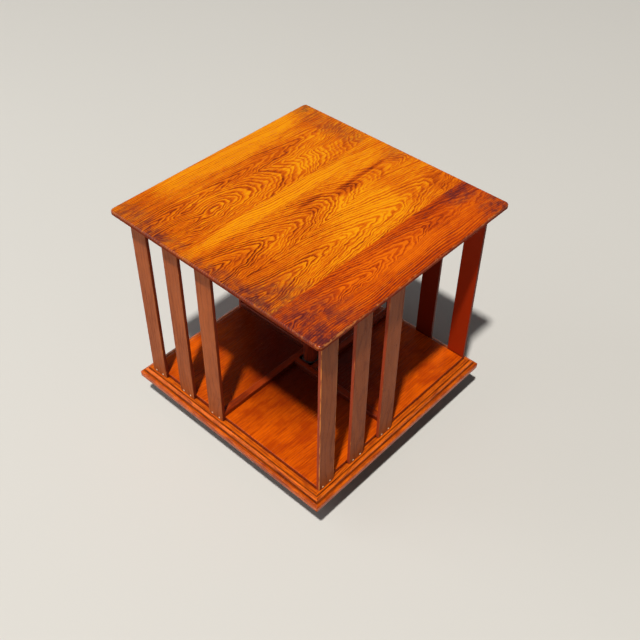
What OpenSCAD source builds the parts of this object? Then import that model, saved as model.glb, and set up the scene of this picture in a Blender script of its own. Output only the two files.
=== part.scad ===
// Revolving desktop bookcase: a square slatted case that turns on a low cross-shaped foot.
// Millimetres, +Z up. The origin is on the turning axis, at the level that the feet stand on.
// The front is the side at low Y. Parts that repeat are turned about the axis in quarter turns.

/* [Main sizes] */
// Side of the square case, measured over the floor
case_side = 320; // [300:1:340]
// Height of the whole bookcase
total_h = 350; // [300:1:400]

/* [Top] */
// How far the top stands out beyond the floor on each side
top_overhang = 19; // [14:0.5:26]
// Thickness of the top boards
top_t = 7.5; // [6:0.5:12]
// Radius of the rounded upper edge of the top
top_upper_r = 2.5; // [1:0.5:3]
// Radius of the rounded lower edge of the top
top_lower_r = 2; // [0.5:0.5:2.5]
// Radius of the top's corners seen from above
top_corner_r = 6; // [3:0.5:10]
// Width of the left board of the top
top_left_w = 128; // [100:1:140]
// Width of the right board of the top
top_right_w = 74; // [60:1:100]

/* [Case] */
// Thickness of the floor boards
floor_t = 6; // [5:0.5:9]
// Radius of the floor's rounded upper edges
floor_edge_r = 1.5; // [0.5:0.1:2.5]
// Width of the left board of the floor
floor_left_w = 82; // [60:1:100]
// Width of the right board of the floor
floor_right_w = 84; // [60:1:100]
// Width of a rail under the top
rail_w = 32; // [24:1:45]
// Thickness of the rails and the bridge board under the top
rail_t = 12; // [10:0.5:18]
// Width of the bridge board that carries the pivot plate
bridge_w = 50; // [40:1:70]

/* [Slats] */
// Width of a slat
slat_w = 28.5; // [20:0.5:34]
// Thickness of a slat
slat_t = 4.5; // [4:0.5:6]
// Radius of a slat's rounded edges
slat_edge_r = 0.8; // [0.4:0.1:1.5]
// Distance between the two pins at one end of a slat
pin_spread = 14; // [8:0.5:16]

/* [Floor strips] */
// Side of the square well that the four strips leave round the post
well_side = 24; // [24:1:44]
// Width of a floor strip
strip_w = 10; // [7:0.5:14]
// Height of a floor strip
strip_h = 8; // [5:0.5:12]
// Radius of the rounded upper edges of a strip
strip_edge_r = 1.2; // [0.5:0.1:2]

/* [Base moulding] */
// Height of the base moulding
base_h = 16; // [14:0.5:20]
// Width of the seat that the floor rests on
seat_w = 24; // [18:1:34]
// Width of the flat shoulder outside the floor
shoulder_w = 7; // [6.1:0.1:9]
// Depth of the step below the shoulder
quirk_h = 1; // [0.5:0.1:2]
// Radius of the rounded band below the step
band_r = 4.9; // [3:0.1:6]
// Width of the narrow ledge between the band and the nose
ledge_w = 0.9; // [0.4:0.1:1.5]
// Drop from the foot of the band to that ledge
ledge_drop = 0.9; // [0.4:0.1:1.5]
// Width of the nose
nose_w = 4.7; // [3:0.1:6]
// Radius of the nose's upper curve
nose_r = 3.4; // [2:0.1:4]
// Radius of the nose's lower edge
nose_lower_r = 1.2; // [0.5:0.1:2]
// Radius of the base's corners seen from above
base_corner_r = 3; // [1:0.5:6]

/* [Turning parts] */
// Diameter of the central post
post_d = 20.5; // [16:0.5:22]
// Radial running clearance of the post in its collar, and of the pin in its plate
run_clear = 0.05; // [0.02:0.01:0.1]
// Diameter of the pivot pin
pin_d = 7.9; // [6:0.1:10]
// Height of the pivot pin above the post
pin_h = 11; // [8:0.5:12]
// Height of the collar above the floor
collar_h = 9; // [5:0.5:14]
// Wall of the collar
collar_wall = 1.4; // [1:0.1:1.6]
// Outer diameter of the bearing plate, which is also that of the post flange
bearing_d = 72; // [64:1:84]
// Thickness of the bearing plate under the hub board
bearing_t = 2; // [1.5:0.1:3]
// Outer diameter of the thrust washer
washer_d = 42; // [34:1:46]
// Thickness of the thrust washer
washer_t = 1.6; // [1:0.1:3]
// Running gap between the thrust washer and the bearing plate
thrust_gap = 0.4; // [0.3:0.05:0.6]
// Thickness of the post flange
flange_t = 3; // [2:0.1:5]
// Length of the pivot plate
pivot_plate_l = 76; // [60:1:90]
// Width of the pivot plate
pivot_plate_w = 24; // [18:1:34]
// Thickness of the pivot plate
pivot_plate_t = 2; // [1.5:0.1:3]

/* [Foot] */
// Length of a cross bar from tip to tip
bar_l = 330; // [260:2:360]
// Width of a cross bar
bar_w = 45; // [36:1:60]
// Thickness of a cross bar
bar_t = 22; // [18:1:30]
// Radius of the rounded upper edges of a cross bar
bar_edge_r = 2.5; // [1:0.5:4]
// Height of a foot below the bars
foot_h = 19; // [14:0.5:24]
// Largest diameter of a foot
foot_d = 34; // [28:1:40]
// Distance from a bar's tip to the middle of its foot
foot_inset = 22; // [20:1:40]
// Width of the hub board under the floor
hub_board_w = 100; // [90:1:130]

/* [Hidden] */
$fn = 48;
eps = 0.01;

// Quarter turns that carry the front side to each side of the case
FRONT = 0;
RIGHT = 1;
BACK = 2;
LEFT = 3;

// Levels, from the ground up
bar_z = foot_h;
flange_z = bar_z + bar_t;
washer_z = flange_z + flange_t;
bearing_z = washer_z + washer_t + thrust_gap;
base_z = bearing_z + bearing_t;
shoulder_z = base_z + base_h;
floor_z = shoulder_z + floor_t;
top_z = total_h - top_t;
rail_z = top_z - rail_t;
pivot_plate_z = rail_z - pivot_plate_t;
post_top_gap = 0.5;
post_top_z = pivot_plate_z - post_top_gap;

// Plan sizes
floor_side = case_side;
floor_half = floor_side / 2;
top_side = floor_side + 2 * top_overhang;
top_half = top_side / 2;
shoulder_u = seat_w + shoulder_w;
band_u = shoulder_u + band_r;
ledge_u = band_u + ledge_w;
moulding_w = ledge_u + nose_w;
base_inner = floor_half - seat_w;
base_half = base_inner + moulding_w;
base_side = 2 * base_half;
well_half = well_side / 2;
slat_pitch = (floor_half - well_half - slat_w) / 2;
slat_h = top_z - shoulder_z;

// Pins and screws
pin_shank_d = 1.6;
pin_head_d = 2.6;
pin_head_t = 0.6;
pin_depth = 9;
drill_clear = 0.05;
screw_d = 3.2;
screw_head_d = 6.4;
screw_head_t = 2;
screw_length = 10;
screw_slot_w = 0.9;
screw_slot_h = 0.8;
screw_bite = 4;
screw_inset = 50;
hub_screw_in = 14;
hub_screw_end = 24;
pivot_screw_end = 9;
pivot_screw_side = 6;

// Turning parts
post_r = post_d / 2;
pin_r = pin_d / 2;
collar_bore_r = post_r + run_clear;
collar_r = collar_bore_r + collar_wall;
plate_clear = 0.5;
pin_embed = 25;
tenon_r = 7;
tenon_h = 10;
bolt_shank_d = 5;
bolt_head_d = 13;
bolt_head_t = 4;
bolt_length = 34;
bearing_screw_in = 7;
bearing_screw_r = bearing_d / 2 - bearing_screw_in;
foot_tenon_r = 5;
foot_tenon_h = 12;
foot_r = foot_d / 2;
foot_radius = bar_l / 2 - foot_inset;
foot_neck_in = 4;
foot_neck_h = 3;
bar_turn = 45;
bar_end_r = 9;

// Finishes
OAK_TOP = [0.80, 0.42, 0.08];
OAK_RED = [0.62, 0.26, 0.06];
OAK_FLOOR = [0.72, 0.32, 0.05];
OAK_SLAT = [0.48, 0.24, 0.14];
OAK_DARK = [0.30, 0.15, 0.08];
BRASS = [0.80, 0.64, 0.32];
STEEL = [0.55, 0.56, 0.58];
IRON = [0.22, 0.22, 0.23];

// ---------- shared shapes ----------

// A square seen from above, centred on the axis, with rounded corners
module rounded_square(side, r) {
    square([side - 2 * r, side], center = true);
    square([side, side - 2 * r], center = true);
    for (x = [-1, 1])
        for (y = [-1, 1])
            translate([x * (side / 2 - r), y * (side / 2 - r)])
                circle(r = r);
}

// A w by h rectangle from the corner at zero, with its two upper corners rounded
module eased_section(w, h, r) {
    square([w, h - r]);
    translate([r, 0])
        square([w - 2 * r, h]);
    translate([r, h - r])
        circle(r = r);
    translate([w - r, h - r])
        circle(r = r);
}

// Everything in the children, turned about the axis to one side of the case
module on_side(side) {
    rotate([0, 0, 90 * side])
        children();
}

// A section drawn in X (across) and Y (up), run along +Y from zero for length l
module run_along_y(l) {
    rotate([90, 0, 0])
        translate([0, 0, -l])
            linear_extrude(height = l)
                children();
}

// A countersunk wood screw, its head's face at z = 0 and its point up
module wood_screw(l) {
    difference() {
        union() {
            cylinder(d1 = screw_head_d, d2 = screw_d, h = screw_head_t);
            translate([0, 0, screw_head_t])
                cylinder(d = screw_d, h = l - 2 * screw_head_t);
            translate([0, 0, l - screw_head_t])
                cylinder(d1 = screw_d, d2 = screw_d / 4, h = screw_head_t);
        }
        translate([-screw_head_d, -screw_slot_w / 2, -eps])
            cube([2 * screw_head_d, screw_slot_w, screw_slot_h + eps]);
    }
}

// The hole that such a screw sits in
module screw_hole(l) {
    translate([0, 0, -eps])
        cylinder(d1 = screw_head_d + 2 * drill_clear, d2 = screw_d + 2 * drill_clear, h = screw_head_t + eps);
    cylinder(d = screw_d + 2 * drill_clear, h = l + drill_clear);
}

// ---------- top ----------

// Section across a slab of the top: w wide, rounded above and below at both edges
module top_section(w) {
    translate([-w / 2, top_lower_r])
        square([w, top_t - top_lower_r - top_upper_r]);
    for (side = [-1, 1]) {
        translate([side * (w / 2 - top_lower_r), top_lower_r])
            circle(r = top_lower_r);
        translate([side * (w / 2 - top_upper_r), top_t - top_upper_r])
            circle(r = top_upper_r);
    }
    translate([-w / 2 + top_lower_r, 0])
        square([w - 2 * top_lower_r, top_t / 2]);
    translate([-w / 2 + top_upper_r, top_t / 2])
        square([w - 2 * top_upper_r, top_t / 2]);
}

// The whole top, which the three boards are cut from
module top_blank() {
    run = top_side - 2 * top_corner_r;
    difference() {
        translate([0, 0, top_z]) {
            for (turn = [0, 90])
                rotate([90, 0, turn])
                    translate([0, 0, -run / 2])
                        linear_extrude(height = run)
                            top_section(top_side);
            for (x = [-run / 2, run / 2])
                for (y = [-run / 2, run / 2])
                    translate([x, y, 0])
                        rotate_extrude()
                            intersection() {
                                top_section(2 * top_corner_r);
                                square([top_corner_r, top_t]);
                            }
        }
        for (side = [FRONT : LEFT])
            on_side(side)
                top_rail_screw_places()
                    screw_hole(rail_screw_l);
    }
}

// The part of the top between two seams
module top_board(x0, x1) {
    intersection() {
        top_blank();
        translate([x0, -top_side, top_z - 1])
            cube([x1 - x0, 2 * top_side, top_t + 2]);
    }
}

module top_board_left() {
    color(OAK_TOP)
        top_board(-top_half - 1, -top_half + top_left_w);
}

module top_board_middle() {
    color(OAK_TOP)
        top_board(-top_half + top_left_w, top_half - top_right_w);
}

module top_board_right() {
    color(OAK_RED)
        top_board(top_half - top_right_w, top_half + 1);
}

// ---------- rails and bridge under the top ----------

rail_l = floor_side - rail_w;
rail_screw_l = rail_t + screw_bite;

// Two screw places on the front rail
module top_rail_screw_places() {
    for (x = [-floor_half + screw_inset, floor_half - rail_w - screw_inset])
        translate([x, -floor_half + rail_w / 2, rail_z])
            children();
}

// The front rail: it starts at the left corner and butts against the right rail
module top_rail() {
    difference() {
        translate([-floor_half, -floor_half, rail_z])
            cube([rail_l, rail_w, rail_t]);
        top_rail_screw_places()
            screw_hole(rail_screw_l);
        slat_pin_places(head_pin_z)
            pin_hole();
    }
}

module top_rail_front() {
    color(OAK_DARK)
        on_side(FRONT)
            top_rail();
}

module top_rail_right() {
    color(OAK_DARK)
        on_side(RIGHT)
            top_rail();
}

module top_rail_back() {
    color(OAK_DARK)
        on_side(BACK)
            top_rail();
}

module top_rail_left() {
    color(OAK_DARK)
        on_side(LEFT)
            top_rail();
}

// Screws up through the rails into the top
module top_rail_screws() {
    color(STEEL)
        for (side = [FRONT : LEFT])
            on_side(side)
                top_rail_screw_places()
                    wood_screw(rail_screw_l);
}

bridge_l = floor_side - 2 * rail_w;
bridge_bore_r = pin_r + 1;
pivot_screw_x = pivot_plate_l / 2 - pivot_screw_end;
pivot_screw_y = pivot_plate_w / 2 - pivot_screw_side;

module pivot_screw_places() {
    for (x = [-pivot_screw_x, pivot_screw_x])
        for (y = [-pivot_screw_y, pivot_screw_y])
            translate([x, y, pivot_plate_z])
                children();
}

module pivot_bridge() {
    color(OAK_DARK)
        difference() {
            translate([-bridge_l / 2, -bridge_w / 2, rail_z])
                cube([bridge_l, bridge_w, rail_t]);
            translate([0, 0, rail_z - eps])
                cylinder(r = bridge_bore_r, h = rail_t + 2 * eps);
            pivot_screw_places()
                screw_hole(screw_length);
        }
}

// A steel plate with round ends and the bore that the pivot pin turns in
module pivot_plate() {
    end_r = pivot_plate_w / 2;
    color(STEEL)
        difference() {
            translate([0, 0, pivot_plate_z])
                linear_extrude(height = pivot_plate_t) {
                    square([pivot_plate_l - 2 * end_r, pivot_plate_w], center = true);
                    for (x = [-1, 1])
                        translate([x * (pivot_plate_l / 2 - end_r), 0])
                            circle(r = end_r);
                }
            translate([0, 0, pivot_plate_z - 1])
                cylinder(r = pin_r + run_clear, h = pivot_plate_t + 2);
            pivot_screw_places()
                screw_hole(screw_length);
        }
}

module pivot_plate_screws() {
    color(STEEL)
        pivot_screw_places()
            wood_screw(screw_length);
}

// ---------- slats and their pins ----------

foot_pin_z = shoulder_z + floor_t / 2;
head_pin_z = rail_z + rail_t / 2;

// Left edge of slat k of the front side, counted from the left corner
function slat_x(k) = -floor_half + k * slat_pitch;

// Both pin places of the front side's three slats at height z, on the slats' outer face
module slat_pin_places(z) {
    for (k = [0 : 2])
        for (s = [-1, 1])
            translate([slat_x(k) + slat_w / 2 + s * pin_spread / 2, -floor_half - slat_t, z])
                children();
}

// A brass pin with a low domed head, driven along +Y
module slat_pin() {
    rotate([-90, 0, 0]) {
        cylinder(d = pin_shank_d, h = pin_depth);
        translate([0, 0, -pin_head_t])
            cylinder(d1 = pin_head_d / 2, d2 = pin_head_d, h = pin_head_t);
    }
}

module pin_hole() {
    translate([0, -1, 0])
        rotate([-90, 0, 0])
            cylinder(d = pin_shank_d + 2 * drill_clear, h = pin_depth + 1 + drill_clear);
}

module slat(side, k) {
    color(OAK_SLAT)
        on_side(side)
            difference() {
                translate([slat_x(k), -floor_half - slat_t, shoulder_z])
                    linear_extrude(height = slat_h)
                        slat_section();
                slat_pin_places(foot_pin_z)
                    pin_hole();
                slat_pin_places(head_pin_z)
                    pin_hole();
            }
}

// Flat on the inner face, rounded at both edges of the outer face
module slat_section() {
    translate([0, slat_t])
        mirror([0, 1])
            eased_section(slat_w, slat_t, slat_edge_r);
}

module slat_front_outer() {
    slat(FRONT, 0);
}

module slat_front_middle() {
    slat(FRONT, 1);
}

module slat_front_inner() {
    slat(FRONT, 2);
}

module slat_right_outer() {
    slat(RIGHT, 0);
}

module slat_right_middle() {
    slat(RIGHT, 1);
}

module slat_right_inner() {
    slat(RIGHT, 2);
}

module slat_back_outer() {
    slat(BACK, 0);
}

module slat_back_middle() {
    slat(BACK, 1);
}

module slat_back_inner() {
    slat(BACK, 2);
}

module slat_left_outer() {
    slat(LEFT, 0);
}

module slat_left_middle() {
    slat(LEFT, 1);
}

module slat_left_inner() {
    slat(LEFT, 2);
}

module slat_pins(z) {
    color(BRASS)
        for (side = [FRONT : LEFT])
            on_side(side)
                slat_pin_places(z)
                    slat_pin();
}

module slat_foot_pins() {
    slat_pins(foot_pin_z);
}

module slat_head_pins() {
    slat_pins(head_pin_z);
}

// ---------- floor ----------

hub_screw_l = base_h + screw_bite;

// Four screw places on the hub board
module hub_screw_places() {
    for (x = [-hub_board_w / 2 + hub_screw_in, hub_board_w / 2 - hub_screw_in])
        for (y = [-base_inner + hub_screw_end, base_inner - hub_screw_end])
            translate([x, y, base_z])
                children();
}

// The floor's outline before it is parted into boards, with eased upper edges along Y
module eased_floor() {
    translate([-floor_half, -floor_half, shoulder_z])
        run_along_y(floor_side)
            eased_section(floor_side, floor_t, floor_edge_r);
}

module floor_board(x0, x1) {
    difference() {
        intersection() {
            translate([x0, -floor_half, shoulder_z])
                cube([x1 - x0, floor_side, floor_t]);
            eased_floor();
            on_side(RIGHT)
                eased_floor();
        }
        translate([0, 0, shoulder_z - 1])
            cylinder(r = collar_r + drill_clear, h = floor_t + 2);
        hub_screw_places()
            screw_hole(hub_screw_l);
        for (side = [FRONT : LEFT])
            on_side(side)
                slat_pin_places(foot_pin_z)
                    pin_hole();
    }
}

module floor_board_left() {
    color(OAK_FLOOR)
        floor_board(-floor_half, -floor_half + floor_left_w);
}

module floor_board_middle() {
    color(OAK_FLOOR)
        floor_board(-floor_half + floor_left_w, floor_half - floor_right_w);
}

module floor_board_right() {
    color(OAK_FLOOR)
        floor_board(floor_half - floor_right_w, floor_half);
}

// The front strip runs back from the front edge, beside the inner slat, to the strip that crosses it
module floor_strip(side) {
    color(OAK_RED)
        on_side(side)
            translate([-well_half - strip_w, -floor_half, floor_z])
                run_along_y(floor_half + well_half)
                    eased_section(strip_w, strip_h, strip_edge_r);
}

module floor_strip_front() {
    floor_strip(FRONT);
}

module floor_strip_right() {
    floor_strip(RIGHT);
}

module floor_strip_back() {
    floor_strip(BACK);
}

module floor_strip_left() {
    floor_strip(LEFT);
}

// ---------- base moulding ----------

nose_top = base_h - quirk_h - band_r - ledge_drop;

// Section across the moulding: X outward from the inner edge, Y up from the underside
module moulding_section() {
    square([shoulder_u, base_h]);
    intersection() {
        translate([shoulder_u, base_h - quirk_h - band_r])
            circle(r = band_r);
        square([band_u, base_h]);
    }
    square([band_u, base_h - quirk_h - band_r]);
    square([ledge_u, nose_top]);
    translate([moulding_w - nose_r, nose_top - nose_r])
        circle(r = nose_r);
    square([moulding_w - nose_r, nose_top]);
    translate([0, nose_lower_r])
        square([moulding_w, nose_top - nose_r - nose_lower_r]);
    square([moulding_w - nose_lower_r, nose_top - nose_r]);
    translate([moulding_w - nose_lower_r, nose_lower_r])
        circle(r = nose_lower_r);
}

// The front piece, mitred at both ends and rounded where it turns the corner
module base_moulding(side) {
    color(OAK_RED)
        on_side(side)
            intersection() {
                translate([-base_half, -base_inner, base_z])
                    rotate([90, 0, 90])
                        linear_extrude(height = 2 * base_half)
                            mirror([1, 0])
                                moulding_section();
                translate([0, 0, base_z - 1])
                    linear_extrude(height = base_h + 2)
                        polygon([[0, 0], [base_side, -base_side], [-base_side, -base_side]]);
                translate([0, 0, base_z - 1])
                    linear_extrude(height = base_h + 2)
                        rounded_square(base_side, base_corner_r);
            }
}

module base_moulding_front() {
    base_moulding(FRONT);
}

module base_moulding_right() {
    base_moulding(RIGHT);
}

module base_moulding_back() {
    base_moulding(BACK);
}

module base_moulding_left() {
    base_moulding(LEFT);
}

// ---------- turning parts of the case ----------

// A steel bush that stands on the bearing plate and rises through the hub board and the floor
module post_collar() {
    color(STEEL)
        rotate_extrude() {
            translate([collar_bore_r, base_z])
                square([collar_wall, base_h + floor_t + collar_h - collar_wall / 2]);
            translate([collar_bore_r + collar_wall / 2, floor_z + collar_h - collar_wall / 2])
                circle(d = collar_wall);
        }
}

// A board across the underside of the floor, between the front and back mouldings
module hub_board() {
    color(OAK_DARK)
        difference() {
            translate([-hub_board_w / 2, -base_inner, base_z])
                cube([hub_board_w, 2 * base_inner, base_h]);
            translate([0, 0, base_z - 1])
                cylinder(r = collar_r + drill_clear, h = base_h + 2);
            hub_screw_places()
                screw_hole(hub_screw_l);
            bearing_screw_places()
                screw_hole(screw_length);
        }
}

module hub_board_screws() {
    color(STEEL)
        hub_screw_places()
            wood_screw(hub_screw_l);
}

module bearing_screw_places() {
    for (side = [FRONT : LEFT])
        on_side(side)
            translate([bearing_screw_r, 0, bearing_z])
                children();
}

// The steel plate under the hub board that runs on the thrust washer
module bearing_plate() {
    color(STEEL)
        difference() {
            translate([0, 0, bearing_z])
                cylinder(d = bearing_d, h = bearing_t);
            translate([0, 0, bearing_z - 1])
                cylinder(r = post_r + plate_clear, h = bearing_t + 2);
            bearing_screw_places()
                screw_hole(screw_length);
        }
}

module bearing_plate_screws() {
    color(STEEL)
        bearing_screw_places()
            wood_screw(screw_length);
}

// ---------- post and what stands still with it ----------

module thrust_washer() {
    color(BRASS)
        difference() {
            translate([0, 0, washer_z])
                cylinder(d = washer_d, h = washer_t);
            translate([0, 0, washer_z - 1])
                cylinder(r = post_r + drill_clear, h = washer_t + 2);
        }
}

// A turned post with a tenon at its foot, bored for the bolt below and for the pin above
module center_post() {
    chamfer = 1;
    color(OAK_RED)
        difference() {
            union() {
                translate([0, 0, flange_z])
                    cylinder(r = post_r, h = post_top_z - flange_z - chamfer);
                translate([0, 0, post_top_z - chamfer])
                    cylinder(r1 = post_r, r2 = post_r - chamfer, h = chamfer);
                translate([0, 0, flange_z - tenon_h])
                    cylinder(r = tenon_r, h = tenon_h + 1);
            }
            translate([0, 0, bar_z])
                cylinder(d = bolt_shank_d + 2 * drill_clear, h = bolt_head_t + bolt_length + 1);
            translate([0, 0, post_top_z - pin_embed - drill_clear])
                cylinder(r = pin_r + drill_clear, h = pin_embed + 1);
        }
}

// A steel pin in the top end of the post, with a chamfered tip
module pivot_pin() {
    chamfer = 1;
    color(STEEL)
        translate([0, 0, post_top_z - pin_embed]) {
            cylinder(r = pin_r, h = pin_embed + pin_h - chamfer);
            translate([0, 0, pin_embed + pin_h - chamfer])
                cylinder(r1 = pin_r, r2 = pin_r - chamfer, h = chamfer);
        }
}

// Screw places on top of the flange, over the bars
module flange_screw_places() {
    for (side = [FRONT : LEFT])
        rotate([0, 0, 90 * side + bar_turn])
            translate([bearing_screw_r, 0, washer_z])
                mirror([0, 0, 1])
                    children();
}

// An iron plate on the crossing of the bars, round the foot of the post
module post_flange() {
    color(IRON)
        difference() {
            translate([0, 0, flange_z])
                cylinder(d = bearing_d, h = flange_t);
            translate([0, 0, flange_z - 1])
                cylinder(r = post_r + drill_clear, h = flange_t + 2);
            flange_screw_places()
                screw_hole(screw_length);
        }
}

module post_flange_screws() {
    color(STEEL)
        flange_screw_places()
            wood_screw(screw_length);
}

// A bolt with a round slotted head, up through the crossing into the post
module post_bolt() {
    color(STEEL)
        translate([0, 0, bar_z])
            difference() {
                union() {
                    cylinder(d = bolt_head_d, h = bolt_head_t);
                    cylinder(d = bolt_shank_d, h = bolt_head_t + bolt_length);
                }
                translate([-bolt_head_d, -1, -eps])
                    cube([2 * bolt_head_d, 2, 1.5]);
            }
}

// ---------- foot ----------

// Side view of a bar: straight below, with round shoulders at both ends
module bar_side() {
    translate([-bar_l / 2, 0])
        square([bar_l, bar_t - bar_end_r]);
    translate([-bar_l / 2 + bar_end_r, 0])
        square([bar_l - 2 * bar_end_r, bar_t]);
    for (side = [-1, 1])
        translate([side * (bar_l / 2 - bar_end_r), bar_t - bar_end_r])
            circle(r = bar_end_r);
}

// A bar along X, before its halving, with everything that is bored in it.
// It will be turned about the axis, so the screw holes are turned back first.
module cross_bar(turn) {
    difference() {
        intersection() {
            translate([0, bar_w / 2, bar_z])
                rotate([90, 0, 0])
                    linear_extrude(height = bar_w)
                        bar_side();
            translate([-bar_l / 2, -bar_w / 2, bar_z])
                rotate([90, 0, 90])
                    linear_extrude(height = bar_l)
                        eased_section(bar_w, bar_t, bar_edge_r);
        }
        translate([0, 0, bar_z - 1])
            cylinder(d = bolt_shank_d + 2 * drill_clear, h = bar_t + 2);
        translate([0, 0, bar_z - 1])
            cylinder(d = bolt_head_d + 2 * drill_clear, h = bolt_head_t + 1);
        translate([0, 0, flange_z - tenon_h - drill_clear])
            cylinder(r = tenon_r + drill_clear, h = tenon_h + 1);
        rotate([0, 0, -turn])
            flange_screw_places()
                screw_hole(screw_length);
        for (x = [-foot_radius, foot_radius])
            translate([x, 0, bar_z - 1])
                cylinder(r = foot_tenon_r + drill_clear, h = foot_tenon_h + 1 + drill_clear);
    }
}

// The room that one bar leaves for the other
module halving(z) {
    translate([-bar_w / 2, -bar_w, z])
        cube([bar_w, 2 * bar_w, bar_t / 2 + 1]);
}

// This bar is notched above and lies under the other where they cross
module cross_bar_lower() {
    color(OAK_DARK)
        rotate([0, 0, bar_turn])
            difference() {
                cross_bar(bar_turn);
                halving(bar_z + bar_t / 2);
            }
}

module cross_bar_upper() {
    color(OAK_DARK)
        rotate([0, 0, bar_turn + 90])
            difference() {
                cross_bar(bar_turn + 90);
                halving(bar_z - 1);
            }
}

// A turned bun foot with a neck under the bar and a tenon in it, at the left end of one side
module foot(side) {
    bun_r = foot_h / 2;
    color(OAK_DARK)
        on_side(side)
            rotate([0, 0, -3 * bar_turn])
                translate([foot_radius, 0, 0])
                    rotate_extrude() {
                        translate([foot_r - bun_r, bun_r])
                            intersection() {
                                circle(r = bun_r);
                                translate([bun_r - foot_r, -bun_r])
                                    square([foot_r, foot_h]);
                            }
                        square([foot_r - bun_r, foot_h]);
                        translate([0, foot_h - foot_neck_h])
                            square([foot_r - foot_neck_in, foot_neck_h]);
                        square([foot_tenon_r, foot_h + foot_tenon_h]);
                    }
}

module foot_front_left() {
    foot(FRONT);
}

module foot_front_right() {
    foot(RIGHT);
}

module foot_back_right() {
    foot(BACK);
}

module foot_back_left() {
    foot(LEFT);
}

top_board_left();
top_board_middle();
top_board_right();
top_rail_front();
top_rail_right();
top_rail_back();
top_rail_left();
top_rail_screws();
pivot_bridge();
pivot_plate();
pivot_plate_screws();
slat_front_outer();
slat_front_middle();
slat_front_inner();
slat_right_outer();
slat_right_middle();
slat_right_inner();
slat_back_outer();
slat_back_middle();
slat_back_inner();
slat_left_outer();
slat_left_middle();
slat_left_inner();
slat_foot_pins();
slat_head_pins();
floor_board_left();
floor_board_middle();
floor_board_right();
floor_strip_front();
floor_strip_right();
floor_strip_back();
floor_strip_left();
post_collar();
hub_board();
hub_board_screws();
bearing_plate();
bearing_plate_screws();
base_moulding_front();
base_moulding_right();
base_moulding_back();
base_moulding_left();
thrust_washer();
center_post();
pivot_pin();
post_flange();
post_flange_screws();
post_bolt();
cross_bar_lower();
cross_bar_upper();
foot_front_left();
foot_front_right();
foot_back_right();
foot_back_left();
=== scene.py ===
"""Revolving desktop bookcase: finishes, small brass pins, and a plain studio stage."""

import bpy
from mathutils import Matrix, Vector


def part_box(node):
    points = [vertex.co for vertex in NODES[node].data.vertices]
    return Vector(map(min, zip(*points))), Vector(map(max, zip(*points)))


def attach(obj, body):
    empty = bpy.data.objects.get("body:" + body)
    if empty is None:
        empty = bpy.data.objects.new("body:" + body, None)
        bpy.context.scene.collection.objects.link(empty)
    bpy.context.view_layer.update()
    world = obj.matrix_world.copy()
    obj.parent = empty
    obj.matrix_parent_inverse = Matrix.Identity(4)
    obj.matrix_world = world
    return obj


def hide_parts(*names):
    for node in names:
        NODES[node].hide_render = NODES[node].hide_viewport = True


bl_info = {
    "name": "Revolving desktop bookcase",
    "version": (1, 0, 0),
    "blender": (4, 5, 0),
    "location": "3D View > Sidebar > Bookcase",
    "description": "Finishes a slatted bookcase that turns on a low cross-shaped foot",
    "category": "Object",
}

import math
import random
from itertools import product

import bmesh
import bpy
from bpy.props import FloatProperty, FloatVectorProperty, PointerProperty
from mathutils import Matrix, Vector

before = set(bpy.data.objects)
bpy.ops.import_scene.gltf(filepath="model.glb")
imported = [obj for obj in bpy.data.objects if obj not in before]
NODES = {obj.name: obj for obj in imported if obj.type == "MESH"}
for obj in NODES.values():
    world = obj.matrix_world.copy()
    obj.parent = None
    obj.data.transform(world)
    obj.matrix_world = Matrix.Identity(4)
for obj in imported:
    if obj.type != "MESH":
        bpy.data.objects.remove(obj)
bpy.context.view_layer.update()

MM = 0.001
SIDES = ("front", "right", "back", "left")
ALONG_X = ("front", "back")  # the sides whose slats and moulding run along X
PLACES = ("outer", "middle", "inner")

# how a piece is turned, in degrees, so that its grain comes to lie along X
GRAIN_X = (0, 0, 0)
GRAIN_Y = (0, 0, -90)
GRAIN_Z_FACING_Y = (0, 90, 0)
GRAIN_Z_FACING_X = (90, 0, 90)
GRAIN_LOWER_BAR = (0, 0, -45)
GRAIN_UPPER_BAR = (0, 0, 45)


def corners_mm(node):
    """Lowest and highest corner of a node, in millimetres."""
    low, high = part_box(node)
    return [c / MM for c in low], [c / MM for c in high]


# where the bookcase's faces are, in millimetres
TOP_LOW, TOP_HIGH = corners_mm("top_board_middle")
FLOOR_LOW, FLOOR_HIGH = corners_mm("floor_board_middle")
BASE_LOW = corners_mm("base_moulding_front")[0]
SLAT_FACE = -corners_mm("slat_front_outer")[0][1]
TOP_HALF, TOP_UNDERSIDE, TOP_FACE = TOP_HIGH[1], TOP_LOW[2], TOP_HIGH[2]
FLOOR_HALF, FLOOR_UNDERSIDE, FLOOR_FACE = FLOOR_HIGH[1], FLOOR_LOW[2], FLOOR_HIGH[2]
BASE_HALF, BASE_UNDERSIDE = -BASE_LOW[1], BASE_LOW[2]
SHOULDER_EDGE = FLOOR_HALF + 7  # the flat shoulder round the floor is 7 mm wide
NOSE_WIDTH = 5.6  # from the moulding's face in to the step over its nose
STRIP_ARRIS = FLOOR_FACE + 7.4  # just under the upper arrises of the floor strips


def stain(red, green, blue):
    """A screen colour, 0 to 255, as the linear colour that a shader takes."""
    def linear(c):
        c /= 255
        return c / 12.92 if c <= 0.04045 else ((c + 0.055) / 1.055) ** 2.4
    return (linear(red), linear(green), linear(blue))


def dimmed(rgb, amount):
    """A colour made darker, or lighter with an amount over 1."""
    return [c * amount for c in rgb]


# ---------- what a user may change ----------


def colour(name, description, rgb):
    return FloatVectorProperty(
        name=name, description=description, subtype="COLOR", size=3, min=0, max=1,
        default=stain(*rgb))


def length(name, description, default):
    return FloatProperty(
        name=name, description=description, default=default, min=0, unit="LENGTH", precision=5)


def power(name, description, default):
    return FloatProperty(name=name, description=description, default=default, unit="POWER")


def strength(name, description, default):
    return FloatProperty(name=name, description=description, default=default, min=0)


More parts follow.
